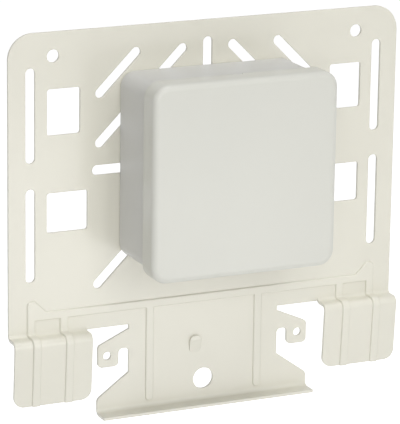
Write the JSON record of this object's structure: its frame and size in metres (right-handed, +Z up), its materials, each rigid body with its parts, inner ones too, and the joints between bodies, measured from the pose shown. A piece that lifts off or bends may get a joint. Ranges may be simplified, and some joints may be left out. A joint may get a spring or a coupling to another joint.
{
  "type": "junction box mounting plate",
  "caption": "Folded sheet mounting plate with adjusting slots, hooked tabs and a tongue, carrying a square junction box with a push-on lid.",
  "frame": {"origin": "on the plate's back face, at the centre of the slot pattern, behind the middle of the box", "axes": "+X to the right seen from the front, +Y out of the plate's back towards the wall, +Z up; the front faces -Y"},
  "size_m": [0.181, 0.0468, 0.1699],
  "materials": {
    "plate_paint": "satin cream powder coat",
    "box_plastic": "fine satin moulded plastic, pale grey white",
    "base_plastic": "fine satin moulded plastic, pale grey white",
    "seal_rubber": "soft dark grey",
    "zinc": "bright zinc plate",
    "terminal_plastic": "translucent white polyamide look",
    "brass": "plain brass"
  },
  "bodies": {
    "plate": {"mounting_plate": "plate_paint", "box_base": "base_plastic", "fixing_screws": "zinc", "fixing_washers": "zinc", "fixing_nuts": "zinc", "terminal_block": "terminal_plastic", "terminal_clamps": "brass", "clamp_screws": "zinc", "block_screws": "zinc"},
    "lid": {"box_lid": "box_plastic", "lid_seal": "seal_rubber"}
  },
  "joints": [
    {"name": "lid_pull_off", "type": "slide", "parent": "plate", "child": "lid", "axis": [0, -1, 0], "range_m": [0, 0.05]}
  ]
}
